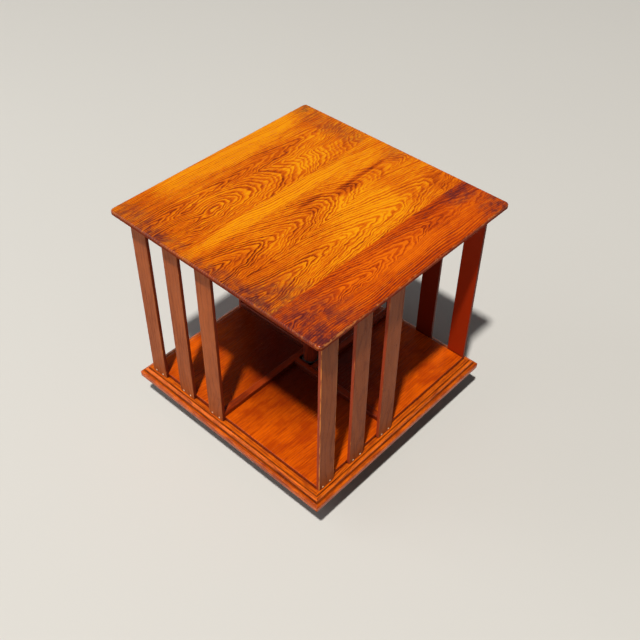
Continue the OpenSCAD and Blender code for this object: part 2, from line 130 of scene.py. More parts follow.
class BookcaseOak(bpy.types.PropertyGroup):
    """Colours of the stained wood"""
    top_light: colour(
        "Top, lightest wood", "Lightest wood of the left and middle boards", (248, 160, 6))
    top_warm: colour(
        "Top, warm wood", "Most of the left and middle boards", (224, 107, 2))
    top_brown: colour(
        "Top, brown wood", "Open grain of the left and middle boards", (178, 68, 2))
    top_dark: colour(
        "Top, darkest wood", "Darkest grain of the left and middle boards", (92, 30, 4))
    edge_light: colour(
        "Right board, light wood", "Lightest wood of the right board", (236, 112, 4))
    edge_warm: colour(
        "Right board, warm wood", "Most of the right board", (200, 74, 2))
    edge_dark: colour(
        "Right board, dark wood", "Open grain of the right board", (140, 42, 4))
    floor_light: colour(
        "Floor, light wood", "Latewood of the floor boards", (228, 96, 4))
    floor_dark: colour(
        "Floor, dark wood", "Open grain of the floor boards", (146, 40, 2))
    floor_red: colour(
        "Floor, reddened wood", "Deeper patches of the floor boards", (166, 50, 4))
    slat_light: colour(
        "Slats, light wood", "Latewood of the slats", (172, 88, 40))
    slat_dark: colour(
        "Slats, dark wood", "Open grain of the slats", (104, 42, 20))
    slat_inside: colour(
        "Slats, inner faces", "Redder wood of the slats where it hasn't faded", (152, 40, 8))
    slat_flank: colour(
        "Slats, narrow faces", "Reddish stain on the narrow faces of the slats", (158, 62, 34))
    moulding_light: colour(
        "Moulding, light wood", "Latewood of the base moulding", (240, 112, 14))
    moulding_dark: colour(
        "Moulding, dark wood", "Open grain of the base moulding", (124, 40, 8))
    moulding_red: colour(
        "Moulding, reddened wood", "The moulding's shoulder and nose", (132, 42, 14))
    strip_light: colour(
        "Floor strips, light wood", "Latewood of the strips on the floor", (168, 60, 14))
    strip_dark: colour(
        "Floor strips, dark wood", "Open grain of the strips on the floor", (92, 26, 8))
    under_light: colour(
        "Hidden wood, light", "Latewood of the rails and the foot", (112, 60, 34))
    under_dark: colour(
        "Hidden wood, dark", "Open grain of the rails and the foot", (66, 34, 20))
    raw: colour(
        "Raw underside", "Dull wood under the floor and the moulding", (104, 66, 42))
    post_light: colour(
        "Post, light wood", "Light streaks of the post", (146, 52, 26))
    post_dark: colour(
        "Post, dark wood", "Dark streaks of the post", (78, 22, 12))
    smoke: colour(
        "Smoky stain", "Dark patches near the corners", (72, 30, 40))
    bare: colour(
        "Bare wood", "Wood where the varnish has worn away", (228, 138, 66))


class BookcaseMetal(bpy.types.PropertyGroup):
    """Colours of the metal parts, each clean and where it has gone dull"""
    steel: colour("Steel", "The pivot's plates and pin", (150, 150, 152))
    steel_dull: colour("Steel, dull", "Spots on the plates and the pin", (84, 78, 74))
    screw: colour("Screws", "The screws and the bolt", (140, 138, 134))
    screw_dull: colour("Screws, dull", "Spots on the screws and the bolt", (78, 62, 50))
    brass: colour("Washer", "The thrust washer", (206, 168, 96))
    brass_dull: colour("Washer, dull", "Spots on the thrust washer", (128, 92, 48))
    iron: colour("Flange", "The flange under the post", (72, 72, 76))
    iron_dull: colour("Flange, dull", "Spots on the flange", (46, 38, 34))
    collar: colour("Collar", "The collar round the post", (104, 102, 100))
    collar_dull: colour("Collar, dull", "Spots on the collar", (46, 38, 32))
    pin: colour("Slat pins", "Brass of the slats' pins", (255, 236, 204))
    pin_dull: colour("Slat pins, dull", "Spots on the slats' pins", (196, 150, 104))


class BookcaseSizes(bpy.types.PropertyGroup):
    """Sizes of the small details"""
    arris: length("Worn arris", "Width of the worn line along an edge", 1.1 * MM)
    pin_radius: length("Pin head radius", "Radius of a brass pin's head", 1.45 * MM)
    pin_dome: length("Pin head height", "Height of a brass pin's domed head", 0.6 * MM)


class BookcaseStage(bpy.types.PropertyGroup):
    """The studio"""
    lens: FloatProperty(
        name="Lens", description="Focal length of the camera", default=50.47, unit="CAMERA")
    ground: colour("Ground", "Colour of the plain ground", (216, 214, 209))
    key_power: power("Key light", "Power of the main soft light", 1480)
    side_power: power("Side light", "Power of the weak front light", 11)
    wall: strength("Wall light", "Strength of the light from eye level", 0.78)
    fill: strength("Fill light", "Strength of the light from all round", 0.06)


# ---------- shader arithmetic ----------


class Value:
    """A number that varies over a surface. Sums and products with it add Math nodes."""

    def __init__(self, finish, socket):
        self.finish = finish
        self.socket = socket

    def __add__(self, other):
        return self.finish.math("ADD", self, other)

    __radd__ = __add__

    def __sub__(self, other):
        return self.finish.math("SUBTRACT", self, other)

    def __rsub__(self, other):
        return self.finish.math("SUBTRACT", other, self)

    def __mul__(self, other):
        return self.finish.math("MULTIPLY", self, other)

    def __truediv__(self, other):
        return self.finish.math("DIVIDE", self, other)

    def __pow__(self, other):
        return self.finish.math("POWER", self, other)

    def __abs__(self):
        return self.finish.math("ABSOLUTE", self)

    def most(self, other):
        return self.finish.math("MAXIMUM", self, other)

    def rise(self, low, high):
        """0 below low, 1 above high, and a smooth step between. With low over high it falls."""
        node = self.finish.node("ShaderNodeMapRange", interpolation_type="SMOOTHSTEP")
        self.finish.join(self, node.inputs["Value"])
        if low < high:
            ends = (low, high, 0.0, 1.0)
        else:
            ends = (high, low, 1.0, 0.0)
        for name, number in zip(("From Min", "From Max", "To Min", "To Max"), ends):
            node.inputs[name].default_value = number
        return Value(self.finish, node.outputs["Result"])


class Finish:
    """A material in the making."""

    def __init__(self, name):
        self.material = bpy.data.materials.new(name)
        self.material.use_nodes = True
        self.tree = self.material.node_tree
        self.tree.nodes.clear()
        self.place = self.node("ShaderNodeTexCoord").outputs["Object"]

    def node(self, kind, **settings):
        made = self.tree.nodes.new(kind)
        for name, setting in settings.items():
            setattr(made, name, setting)
        return made

    def join(self, value, socket):
        """Feeds a value, a socket or a plain number or colour to a socket."""
        if isinstance(value, Value):
            value = value.socket
        if isinstance(value, bpy.types.NodeSocket):
            self.tree.links.new(value, socket)
        elif socket.type == "RGBA" and len(value) == 3:
            socket.default_value = (*value, 1)
        else:
            socket.default_value = value

    def math(self, operation, *values):
        made = self.node("ShaderNodeMath", operation=operation)
        for value, socket in zip(values, made.inputs):
            self.join(value, socket)
        return Value(self, made.outputs[0])

    def axes(self, turn=(0, 0, 0)):
        """X, Y and Z in millimetres, after the piece is turned by these angles in degrees."""
        scaled = self.node("ShaderNodeMapping", vector_type="POINT")
        self.join(self.place, scaled.inputs["Vector"])
        scaled.inputs["Rotation"].default_value = [math.radians(a) for a in turn]
        scaled.inputs["Scale"].default_value = (1 / MM,) * 3
        split = self.node("ShaderNodeSeparateXYZ")
        self.join(scaled.outputs[0], split.inputs[0])
        return [Value(self, socket) for socket in split.outputs]

    def noise(self, x, y, z, detail=2.0, roughness=0.5):
        """Cloudy noise from 0 to 1. One unit of x, y and z is about the size of one cloud."""
        joined = self.node("ShaderNodeCombineXYZ")
        for value, socket in zip((x, y, z), joined.inputs):
            self.join(value, socket)
        made = self.node("ShaderNodeTexNoise")
        self.join(joined.outputs[0], made.inputs["Vector"])
        made.inputs["Scale"].default_value = 1
        made.inputs["Detail"].default_value = detail
        made.inputs["Roughness"].default_value = roughness
        return Value(self, made.outputs[0])

    def clouds(self, spot, size, seed=None, detail=2.0, roughness=0.5):
        """Noise at a spot, in clouds of this size in millimetres along each axis."""
        x, y, z = (axis / reach for axis, reach in zip(spot, size))
        return self.noise(x if seed is None else x + seed, y, z, detail, roughness)

    def mix(self, amount, first, second):
        made = self.node("ShaderNodeMix", data_type="RGBA")
        self.join(amount, made.inputs[0])
        self.join(first, made.inputs[6])
        self.join(second, made.inputs[7])
        return made.outputs[2]

    def ramp(self, value, shades):
        """Colours from the first shade at 0 to the last one at 1."""
        made = self.node("ShaderNodeValToRGB")
        self.join(value, made.inputs[0])
        elements = made.color_ramp.elements
        while len(elements) < len(shades):
            elements.new(0.5)
        for number, (element, shade) in enumerate(zip(elements, shades)):
            element.position = number / (len(shades) - 1)
            element.color = (*shade, 1)
        return made.outputs[0]

    def arris(self, radius):
        """About 1 on sharp edges and 0 on flats."""
        soft = self.node("ShaderNodeBevel", samples=4)
        soft.inputs["Radius"].default_value = radius
        shape = self.node("ShaderNodeNewGeometry")
        dot = self.node("ShaderNodeVectorMath", operation="DOT_PRODUCT")
        self.join(soft.outputs[0], dot.inputs[0])
        self.join(shape.outputs["Normal"], dot.inputs[1])
        return Value(self, dot.outputs["Value"]).rise(0.995, 0.86)

    def crevice(self, reach):
        """0 on open faces and about 1 deep in narrow corners."""
        shelter = self.node("ShaderNodeAmbientOcclusion", samples=8)
        shelter.inputs["Distance"].default_value = reach
        return Value(self, shelter.outputs["AO"]).rise(0.62, 0.2)

    def shade(self, base, roughness, height=None, relief=0.0, **levels):
        """Ends the material with a shader. Constant levels are set on its own sockets."""
        shader = self.node("ShaderNodeBsdfPrincipled")
        self.join(base, shader.inputs["Base Color"])
        self.join(roughness, shader.inputs["Roughness"])
        for name, level in levels.items():
            self.join(level, shader.inputs[name.replace("_", " ")])
        if height is not None:
            bump = self.node("ShaderNodeBump")
            bump.inputs["Strength"].default_value = 1
            bump.inputs["Distance"].default_value = relief
            self.join(height, bump.inputs["Height"])
            self.join(bump.outputs[0], shader.inputs["Normal"])
        end = self.node("ShaderNodeOutputMaterial")
        self.join(shader.outputs[0], end.inputs["Surface"])
        return self.material


# ---------- straight oak ----------


def pores(f, spot, seed):
    """Short dark open pores that run along the grain."""
    fine = f.clouds(spot, (9, 0.42, 0.42), seed, detail=1.5)
    broken = f.clouds(spot, (26, 3.5, 3.5), seed, detail=1)
    return fine.rise(0.52, 0.68) * broken.rise(0.35, 0.6)


def growth_rings(f, distance, spacing, seed):
    """Rings of uneven width: about 1 on each ring's porous start and 0 on its dense end."""
    wander = f.noise(distance / 55 + seed, seed, 0.0)
    part = f.math("FRACT", distance / spacing + wander * 5)
    return part.rise(0.42, 0.02).most(part.rise(0.86, 1.0))


def plain_oak(name, turn, light, dark, spacing=5.0, pith=(40, 55), rings=0.5, streaks=0.5,
              gloss=0.3, sheen=0.25, coat=0.12, wear=None, seed=0.0, layers=(), grime_and_shade=()):
    """Straight stained oak whose grain runs along X after the turn.

    Pith is how far the tree's centre lies from the piece's own, sideways and below. Wear is
    (how much, colour, width) of the bare lines along its edges. Each layer is (colour,
    function): the function takes the finish and X, Y and Z and gives how much of the colour
    shows. Layers go under the worn edges, and grime goes over them; some of both are painted shade.
    """
    f = Finish(name)
    grain = f.axes(turn)
    _, across, deep = grain
    drift = f.clouds(grain, (120, 60, 60), seed, detail=1)
    ripple = f.clouds(grain, (30, 9, 9), seed)
    sideways = across - pith[0] + (drift - 0.5) * 26
    below = deep + pith[1] + (drift - 0.5) * 16
    distance = f.math("SQRT", sideways * sideways + below * below) + (ripple - 0.5) * 3
    ring = growth_rings(f, distance, spacing, seed)
    pore = pores(f, grain, seed)
    streak = f.clouds(grain, (22, 1.5, 1.5), seed, detail=3, roughness=0.66)
    band = f.clouds(grain, (60, 3, 3), seed + 3)
    cloud = f.clouds(grain, (70, 22, 22), seed, detail=3)

    lines = (streak - 0.5) * 2 + (band - 0.5) * 1.6
    depth = ring * rings + pore * 0.4 + lines * streaks + (cloud - 0.5) * 0.9 + 0.12
    base = f.mix(depth.rise(-0.3, 1.1), light, dark)
    rough = cloud * 0.16 + pore * 0.12 + (gloss - 0.06)
    spot = f.axes()
    for tint, amount in layers:
        base = f.mix(amount(f, *spot), base, tint)
    if wear is not None:
        rubbed, bare, width = wear
        rub = f.clouds(grain, (14, 6, 6), seed, detail=3, roughness=0.65)
        worn = f.arris(width) * rub.rise(0.62 - 0.3 * rubbed, 0.8 - 0.25 * rubbed)
        base = f.mix(worn, base, bare)
        rough = rough + worn * 0.2
    for tint, amount in grime_and_shade:
        base = f.mix(amount(f, *spot), base, tint)
    # painted shade: narrow corners and grooves darkened almost to black
    base = f.mix(f.crevice(5 * MM) * 0.75, base, dimmed(dark, 0.12))
    height = ring * -0.25 + pore * -0.7 + streak * 0.4 + cloud * 0.3
    return f.shade(base, rough, height, 0.09 * MM,
                   Specular_IOR_Level=sheen, Coat_Weight=coat, Coat_Roughness=0.12)


def smudge(f, x, y, place, size, ragged=0.45):
    """1 in the middle of a soft patch and 0 outside it, with a ragged edge."""
    dx = (x - place[0]) / size[0]
    dy = (y - place[1]) / size[1]
    rag = f.noise(x / 16, y / 24, 0.0, detail=4, roughness=0.65)
    return (f.math("SQRT", dx * dx + dy * dy) + (rag - 0.5) * 2 * ragged).rise(1.15, 0.45)


def underside(level):
    """How much of the raw lower side shows: the part of a board just over this height."""
    def raw_wood(f, x, y, z):
        return z.rise(level + 0.15, level + 0.05) * 0.85
    return raw_wood


# ---------- flat-sawn oak of the top ----------

ARCH_POINT = 1.4  # 2 makes round arches, and less makes them pointed
ARCH_BLEND = 2.0  # how softly neighbouring arches run together, in millimetres


def cut_rings(f, x, y, piths, ovals):
    """Distance from the tree's centre where a flat board cuts through its rings.

    Each pith is (axis, lean, depth, slope, lift): its rings show as nested arches that point
    to +Y along the axis. Each oval is (x, y, half width, half length, rise, lift): its rings
    show as closed loops.
    """
    nearest = None
    for axis, lean, depth, slope, lift in piths:
        sideways = abs(x - axis - y * lean) ** ARCH_POINT
        below = abs(depth + y * slope) ** ARCH_POINT
        away = (sideways + below) ** (1 / ARCH_POINT) + lift
        if nearest is not None:
            away = f.math("SMOOTH_MIN", nearest, away, ARCH_BLEND)
        nearest = away
    for middle_x, middle_y, half_x, half_y, rise, lift in ovals:
        dx, dy = (x - middle_x) / half_x, (y - middle_y) / half_y
        away = f.math("SQRT", dx * dx + dy * dy + 0.02) * rise + lift
        nearest = f.math("SMOOTH_MIN", nearest, away, ARCH_BLEND)
    return nearest


def arched_grain(f, spot, piths, ovals, straight, ring, jag, seed):
    """The dark lines of flat-sawn grain, and how bold each of them is."""
    x, y, _ = spot
    drift = f.clouds(spot, (70, 110, 70), seed, detail=1) - 0.5
    wave = f.clouds(spot, (13, 19, 19), seed, detail=1.5, roughness=0.55) - 0.5
    fray = f.clouds(spot, (3.2, 9, 4), seed, roughness=0.6) - 0.5
    swing = x + drift * 22 + wave * 5
    away = cut_rings(f, swing, y + drift * 30, piths, ovals)
    away = away + (wave * 5.0 + fray) * jag
    if straight is not None:
        edge, lean, side = straight
        beyond = ((swing - wave * 3 - edge - y * lean) * side).rise(-1, 4)
        away = away + beyond * ((swing - wave * 4 - y * lean) * 0.9 - away)
    wander = f.noise(away / 17 + seed, seed, 0.0) - 0.5
    phase = f.math("FRACT", away / ring + wander * 4.5)
    paler_at_the_back = y.rise(150, -20) * 0.4 + 0.6
    line = phase.rise(0.68, 0.08).most(phase.rise(0.8, 1.0)) * paler_at_the_back
    bold = f.noise(away / 9 + seed + 5, seed, 0.0, detail=1).rise(0.38, 0.66)
    return line, bold


def worn_rim(f, spot, base, oak):
    """Dark edges round the top, with varnish worn through, most at the right front corner."""
    x, y, z = spot
    # the underside and the edges are darker than the upper face
    lower = z.rise(TOP_FACE - 0.8, TOP_FACE - 4.0)
    base = f.mix(lower * 0.8, base, dimmed(oak.edge_dark, 0.7))
    inward = TOP_HALF - abs(x).most(abs(y))
    base = f.mix(inward.rise(3.0, 0.4) * 0.4, base, dimmed(oak.edge_dark, 0.5))

    rub = f.clouds((x + y, x - y, z), (11, 11, 3), detail=4, roughness=0.7)
    near = smudge(f, x, y, (TOP_HALF, -TOP_HALF), (60, 60), 0.2)
    right = x.rise(TOP_HALF - 12, TOP_HALF)
    worn = inward.rise(2.0, 1.0) * (rub + near * 0.1 + right * 0.13).rise(0.62, 0.78)
    worn = worn * z.rise(TOP_UNDERSIDE + 3, TOP_UNDERSIDE + 6)
    base = f.mix(worn * 0.65, base, dimmed(oak.bare, 0.85))

    nick = f.clouds(spot, (1.1, 1.1, 1.1), roughness=0.7)
    corner = smudge(f, x, y, (TOP_HALF - 6, -TOP_HALF + 6), (34, 34), 0.3)
    base = f.mix((nick + corner * 0.08).rise(0.76, 0.82) * corner * 0.7, base, oak.bare)
    return base, worn, rub


def top_oak(name, shades, oak, piths, ovals=(), straight=None, ring=2.5, jag=1.0, seed=0.0,
            tints=(), smoky=()):
    """A board of the top: arched grain, smoky patches, and varnish worn at the edges.

    The shades go from the lightest to the darkest wood. Piths and ovals are those of
    cut_rings. Straight is (x, lean, side): grain beyond that line runs straight. Ring is the
    width of a growth ring, and jag is how ragged its line is. Each tint and smoky patch is
    (place, size, strength): a positive tint lightens the wood.
    """
    f = Finish(name)
    x, y, z = spot = f.axes()
    line, bold = arched_grain(f, spot, piths, ovals, straight, ring, jag, seed)
    dash = f.noise(x / 0.55, y / 7 + seed, z / 0.55, detail=1.5)
    pore = dash.rise(0.52, 0.66) * f.clouds(spot, (3, 14, 3), detail=1).rise(0.3, 0.62)
    cloud = f.clouds(spot, (22, 75, 22), seed, detail=3, roughness=0.6) - 0.5
    mottle = f.clouds(spot, (4, 8, 4), seed, detail=3, roughness=0.65) - 0.5
    streak = f.clouds(spot, (1.5, 45, 1.5), seed, roughness=0.6) - 0.5

    ground = cloud * 0.45 + mottle * 0.34 + streak * 0.7 + 0.17
    for place, size, amount in tints:
        ground = ground - smudge(f, x, y, place, size, 0.3) * amount
    drawn = line * (bold * 0.34 + 0.34) * (dash.rise(0.25, 0.6) * 0.45 + 0.55)
    base = f.ramp(ground.most(-0.06) + drawn + pore * 0.2, shades)
    blotch = f.clouds(spot, (9, 15, 9), seed, detail=4, roughness=0.72).rise(0.4, 0.6)
    for place, size, amount in smoky:
        patch = smudge(f, x, y, place, size) * (blotch * 0.75 + 0.25) * amount
        base = f.mix(patch, base, oak.smoke)
    base, worn, rub = worn_rim(f, spot, base, oak)

    polish = z.rise(TOP_FACE - 3.5, TOP_FACE - 0.4)  # only the upper face was polished
    rough = (cloud + 0.5) * 0.14 + pore * 0.1 + worn * 0.25 + (1 - polish) * 0.35 + 0.15
    height = line * -0.22 + pore * -0.6 + mottle * 0.35 + rub * 0.1
    return f.shade(base, rough, height, 0.07 * MM, Specular_IOR_Level=polish * 0.24 + 0.05,
                   Coat_Weight=polish * 0.18, Coat_Roughness=0.08)


# ---------- metal ----------


def aged_metal(name, clean, dull, rough, spots, turned=True):
    """Handled metal with dull spots. Its brushed lines run round the axis where it was turned."""
    f = Finish(name)
    x, y, z = spot = f.axes()
    radius = f.math("SQRT", x * x + y * y)
    if turned:
        lines = f.noise(radius / 0.35, z / 0.5, 0.0)
    else:
        lines = f.clouds(spot, (8, 0.4, 0.4))
    cloud = f.clouds(spot, (6, 6, 6), detail=4, roughness=0.65)
    stained = cloud.rise(0.62 - 0.2 * spots, 0.72)
    return f.shade(f.mix(stained, clean, dull), stained * 0.3 + lines * 0.12 + (rough - 0.05),
                   lines * 0.3 + cloud * 0.5, 0.04 * MM, Metallic=1.0)


# ---------- small helpers of the operators ----------


def dress(material, *nodes):
    """Gives carried-over nodes their finish."""
    for name in nodes:
        for slot in NODES[name].material_slots:
            slot.material = material


def add_object(context, name, data):
    """Puts a new mesh, light or camera in the scene."""
    made = bpy.data.objects.new(name, data)
    context.scene.collection.objects.link(made)
    return made


# ---------- operators ----------


class BOOKCASE_OT_top(bpy.types.Operator):
    """Stains and varnishes the three boards of the top"""
    bl_idname = "bookcase.top"
    bl_label = "Top boards"

    def execute(self, context):
        oak = context.scene.bookcase_oak
        shades = oak.top_light, oak.top_warm, oak.top_brown, oak.top_dark
        right_shades = oak.edge_light, oak.edge_warm, oak.edge_dark, oak.smoke
        front, back = -TOP_HALF, TOP_HALF
        dress(top_oak(
            "top_left_oak", shades, oak, seed=1.0,
            piths=((-118, 0, 22, 0.10, -12), (-72, 0.13, 36, 0.25, -15)),
            ovals=((-83, -89, 16, 46, 13, -12),),
            tints=(((-162, 20), (22, 150), 0.34), ((-74, 70), (20, 50), 0.16),
                   ((-110, -150), (90, 50), -0.12), ((-119, 20), (18, 110), -0.14),
                   ((-120, 150), (70, 24), -0.08)),
            smoky=(((-140, front), (66, 34), 0.55), ((-70, front), (60, 24), 0.5),
                   ((-TOP_HALF, back), (30, 30), 0.5), ((-110, 160), (80, 24), 0.35)),
        ), "top_board_left")
        dress(top_oak(
            "top_middle_oak", shades, oak, seed=4.0, ring=2.8, jag=1.2,
            piths=((8, 0.02, 52, 0.28, -4), (73, 0, 34, 0.17, 0)),
            straight=(-23, 0.11, -1),
            tints=(((-38, -40), (14, 170), 0.36), ((-25, 100), (20, 70), 0.12),
                   ((55, 40), (48, 75), 0.24), ((96, -10), (10, 55), 0.2),
                   ((0, 90), (4, 75), -0.34), ((9, 60), (7, 26), -0.36),
                   ((-8, 5), (5, 30), -0.26), ((8, -5), (9, 16), -0.22),
                   ((20, -150), (95, 60), -0.15), ((90, 165), (40, 30), -0.2)),
            smoky=(((30, front), (90, 22), 0.6), ((96, front), (58, 72), 0.6),
                   ((0, back), (20, 40), 0.25)),
        ), "top_board_middle")
        dress(top_oak(
            "top_right_oak", right_shades, oak, seed=9.0, jag=1.3,
            piths=((132, 0, 30, 0.15, 0),),
            straight=(146, 0.0, 1),
            tints=(((140, -20), (26, 90), 0.2), ((112, 120), (12, 80), -0.25),
                   ((150, 20), (18, 60), 0.12), ((TOP_HALF, 0), (14, 170), -0.12)),
            smoky=(((150, front), (68, 86), 0.66), ((TOP_HALF, front), (34, 34), 0.7),
                   ((TOP_HALF, back), (40, 50), 0.8), ((118, 150), (24, 34), 0.6)),
        ), "top_board_right")
        return {"FINISHED"}


class BOOKCASE_OT_slats(bpy.types.Operator):
    """Stains the twelve upright slats, whose outer faces have faded, and paints light and shade on
    them
    """
    bl_idname = "bookcase.slats"
    bl_label = "Slats"

    def execute(self, context):
        oak = context.scene.bookcase_oak
        for number, (side, place) in enumerate(product(SIDES, PLACES)):
            name = f"slat_{side}_{place}"
            low, high = corners_mm(name)
            # the axes along the slat's width and its thickness, where 0 is X and 1 is Y
            wide, thick = (0, 1) if side in ALONG_X else (1, 0)
            middle = (low[wide] + high[wide]) / 2
            half = (high[wide] - low[wide]) / 2
            # how light the outer face, the inner face and the narrow faces are: painted light and
            # shade
            # faded paints shade on the right and back slats and light on the front and left ones,
            # as light falls on them
            faded = 0.8 if side in ("right", "back") else 1.05
            # painted shade on the inner faces of the back middle and inner slats
            inner_shade = 0.4 if name in ("slat_back_middle", "slat_back_inner") else 1.0
            # painted shade on the narrow faces of the front and back slats
            flank_shade = 1.0 if wide else 0.35
            knocked = 0.14 if name == "slat_right_outer" else -0.06

            def unfaded(f, *spot):
                return abs(spot[thick]).rise(SLAT_FACE - 0.5, SLAT_FACE - 3.2)

            def narrow_faces(f, *spot):
                return abs(spot[wide] - middle).rise(half - 0.4, half - 0.1) * 0.85

            def worn(f, *spot):
                """Bare wood along the outer arrises, most of it at the right front corner."""
                arrises = (abs(spot[wide] - middle).rise(half - 1.4, half - 0.4)
                           * abs(spot[thick]).rise(SLAT_FACE - 1.4, SLAT_FACE - 0.4))
                rub = f.clouds((spot[2], spot[wide], spot[thick]), (18, 3, 3), number * 5,
                               detail=4, roughness=0.65)
                return arrises * (rub + knocked).rise(0.5, 0.68) * 0.85

            dress(plain_oak(
                f"{name}_oak", GRAIN_Z_FACING_X if wide else GRAIN_Z_FACING_Y,
                dimmed(oak.slat_light, faded), dimmed(oak.slat_dark, faded), spacing=4.2,
                pith=(30, 70), rings=0.2, streaks=0.28, gloss=0.38, sheen=0.08, coat=0.0,
                seed=number * 3.7,
                layers=((dimmed(oak.slat_inside, inner_shade), unfaded),
                        (dimmed(oak.slat_flank, flank_shade), narrow_faces)),
                grime_and_shade=((oak.bare, worn),)), name)
        return {"FINISHED"}


class BOOKCASE_OT_floor(bpy.types.Operator):
    """Stains the floor boards and the four strips on them, and paints shade on them"""
    bl_idname = "bookcase.floor"
    bl_label = "Floor"

    def execute(self, context):
        oak = context.scene.bookcase_oak
        arris = context.scene.bookcase_sizes.arris
        # the colour of the painted shade on the floor boards and strips
        shadow = dimmed(oak.floor_dark, 0.4)

        # painted shade on the outer edge faces of the floor boards
        def sides(f, x, y, z):
            return abs(x).most(abs(y)).rise(FLOOR_HALF - 0.9, FLOOR_HALF - 0.2) * 0.9

        # painted shade towards the middle of the floor, under the top
        def middle(f, x, y, z):
            return f.math("SQRT", x * x + y * y).rise(160, 45) * 0.9

        def patches(f, x, y, z):
            return f.clouds((x, y, z), (26, 40, 26), detail=3, roughness=0.6).rise(0.46, 0.68) * 0.6

        def back_left(f, x, y, z):
            """Painted shade on the boards in the bay at the back left."""
            return smudge(f, x, y, (-85, 65), (130, 135), 0.2) * 0.75

        # painted shade on the strips' sides, under their upper arrises
        def strip_flanks(f, x, y, z):
            return z.rise(STRIP_ARRIS, STRIP_ARRIS - 1) * 0.8

        for number, name in enumerate(("left", "middle", "right")):
            dress(plain_oak(
                f"floor_{name}_oak", GRAIN_Y, oak.floor_light, oak.floor_dark, spacing=2.6,
                pith=(number * 37 - 30, 30), rings=0.25, streaks=0.55, gloss=0.24,
                wear=(0.3, oak.bare, arris), seed=11 + number * 5.3,
                layers=((oak.floor_red, patches), (shadow, middle), (shadow, back_left)),
                grime_and_shade=((shadow, sides), (oak.raw, underside(FLOOR_UNDERSIDE)))),
                f"floor_board_{name}")
        for number, side in enumerate(SIDES):
            dress(plain_oak(
                f"floor_strip_oak_{side}", GRAIN_Y if side in ALONG_X else GRAIN_X,
                oak.strip_light, oak.strip_dark, spacing=3.5, gloss=0.28,
                wear=(0.4, oak.bare, arris), seed=21 + number * 2.9,
                layers=((shadow, strip_flanks),)), f"floor_strip_{side}")
        return {"FINISHED"}


class BOOKCASE_OT_moulding(bpy.types.Operator):
    """Stains the mitred moulding round the base and paints shade in its steps"""
    bl_idname = "bookcase.moulding"
    bl_label = "Base moulding"

    def execute(self, context):
        oak = context.scene.bookcase_oak
        arris = context.scene.bookcase_sizes.arris

        def hollows(f, x, y, z):
            """Painted shade in the step under the shoulder and in the step over the nose."""
            out = abs(x).most(abs(y))
            rag = f.clouds((x, y, z), (12, 12, 4), detail=3) * 1.6 - 0.8
            ragged = out + rag * 0.5
            upper = ((ragged - SHOULDER_EDGE).rise(-0.6, 0.1)
                     * (out - SHOULDER_EDGE).rise(1.7, 0.7))
            lower = ((ragged - BASE_HALF + NOSE_WIDTH).rise(-1.0, 0.1)
                     * (out - BASE_HALF + NOSE_WIDTH).rise(2.0, 0.9))
            return (upper * 0.75).most(lower * 0.7) * z.rise(BASE_UNDERSIDE + 3, BASE_UNDERSIDE + 6)

        def foot(f, x, y, z):
            """Darker towards the lower edge."""
            return z.rise(BASE_UNDERSIDE + 7, BASE_UNDERSIDE + 2) * 0.45

        def lower_edge(f, x, y, z):
            return z.rise(BASE_UNDERSIDE + 2.4, BASE_UNDERSIDE + 0.8) * 0.8

        def bands(f, x, y, z):
            """The shoulder and the nose are redder than the round between them."""
            out = abs(x).most(abs(y))
            blotch = f.clouds((x, y, z), (16, 16, 5), detail=3, roughness=0.6)
            shoulder = out.rise(SHOULDER_EDGE + 0.6, SHOULDER_EDGE - 1.5) * 0.7
            nose = out.rise(BASE_HALF - 5.5, BASE_HALF - 3.5)
            return shoulder.most(nose) * (blotch.rise(0.34, 0.64) * 0.5 + 0.08)

        for number, side in enumerate(SIDES):
            dress(plain_oak(
                f"moulding_oak_{side}", GRAIN_X if side in ALONG_X else GRAIN_Y,
                oak.moulding_light, oak.moulding_dark, spacing=3.0, pith=(60, 90), rings=0.35,
                streaks=0.7, gloss=0.22, wear=(0.15, oak.bare, arris), seed=31 + number * 4.1,
                layers=((oak.moulding_red, bands), (oak.moulding_dark, foot)),
                grime_and_shade=((dimmed(oak.moulding_dark, 0.3), hollows), (oak.moulding_dark, lower_edge),
                       (oak.raw, underside(BASE_UNDERSIDE)))), f"base_moulding_{side}")
        return {"FINISHED"}


class BOOKCASE_OT_hidden_wood(bpy.types.Operator):
    """Stains the rails, the bridge, the hub board and the foot"""
    bl_idname = "bookcase.hidden_wood"
    bl_label = "Rails and foot"

    def execute(self, context):
        oak = context.scene.bookcase_oak
        pieces = (
            ("rail_oak_x", GRAIN_X, ("top_rail_front", "top_rail_back", "pivot_bridge")),
            ("rail_oak_y", GRAIN_Y, ("top_rail_left", "top_rail_right", "hub_board")),
            ("bar_oak_lower", GRAIN_LOWER_BAR, ("cross_bar_lower",)),
            ("bar_oak_upper", GRAIN_UPPER_BAR, ("cross_bar_upper",)),
            ("foot_oak", GRAIN_Z_FACING_Y, ("foot_front_left", "foot_front_right",
                                            "foot_back_right", "foot_back_left")),
        )
        for number, (name, turn, nodes) in enumerate(pieces):
            dress(plain_oak(
                name, turn, oak.under_light, oak.under_dark, gloss=0.42,
                wear=(0.3, oak.slat_light, MM), seed=41 + number * 3.3), *nodes)
        return {"FINISHED"}


class BOOKCASE_OT_post(bpy.types.Operator):
    """Stains the turned post"""
    bl_idname = "bookcase.post"
    bl_label = "Post"

    def execute(self, context):
        oak = context.scene.bookcase_oak
        dress(plain_oak("post_wood", GRAIN_Z_FACING_Y, oak.post_light, oak.post_dark, spacing=3,
                        pith=(16, 12), seed=61), "center_post")
        return {"FINISHED"}


